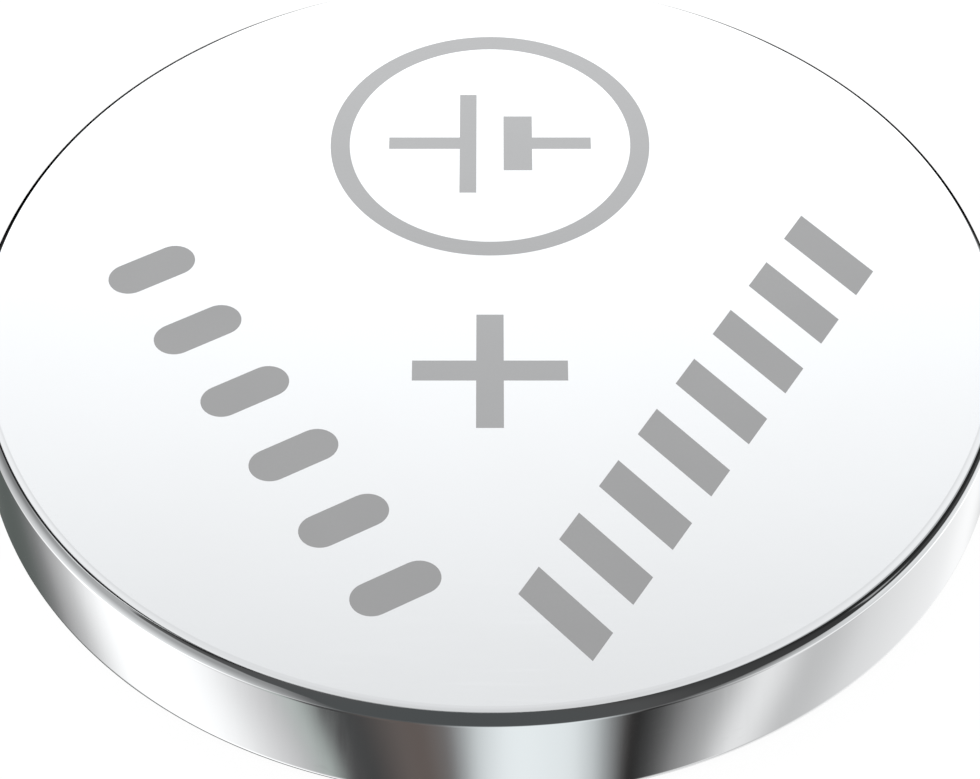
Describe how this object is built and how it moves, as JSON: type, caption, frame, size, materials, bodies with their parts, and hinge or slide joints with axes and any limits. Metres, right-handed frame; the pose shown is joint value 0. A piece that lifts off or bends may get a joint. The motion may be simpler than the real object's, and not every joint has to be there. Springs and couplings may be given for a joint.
{
  "type": "lithium coin cell",
  "caption": "Flat round lithium cell: a deep-drawn steel can with a crimped lip, closed by a gasket and a stepped cap, the electrodes stacked inside.",
  "frame": {"origin": "centre of the negative terminal's face, at the bottom of the cell", "axes": "+Z along the cell's axis, from the negative terminal up to the positive face; X and Y are free, because the cell is round"},
  "size_m": [0.02, 0.02, 0.0025],
  "materials": {
    "can_steel": "bright nickel-plated steel, polished, with fine handling marks",
    "cap_steel": "satin nickel-plated steel",
    "gasket_plastic": "natural polypropylene",
    "separator_cloth": "non-woven cloth",
    "lithium": "dull bare lithium",
    "pellet": "pressed manganese dioxide, matt",
    "inner_steel": "plain stainless steel",
    "face_print": "thin grey satin print on the nickel"
  },
  "bodies": {
    "root": {"positive_can": "can_steel", "negative_cap": "cap_steel", "sealing_gasket": "gasket_plastic", "separator": "separator_cloth", "lithium_anode": "lithium", "cathode_pellet": "pellet", "cathode_ring": "inner_steel", "collector_mesh": "inner_steel"}
  },
  "joints": []
}
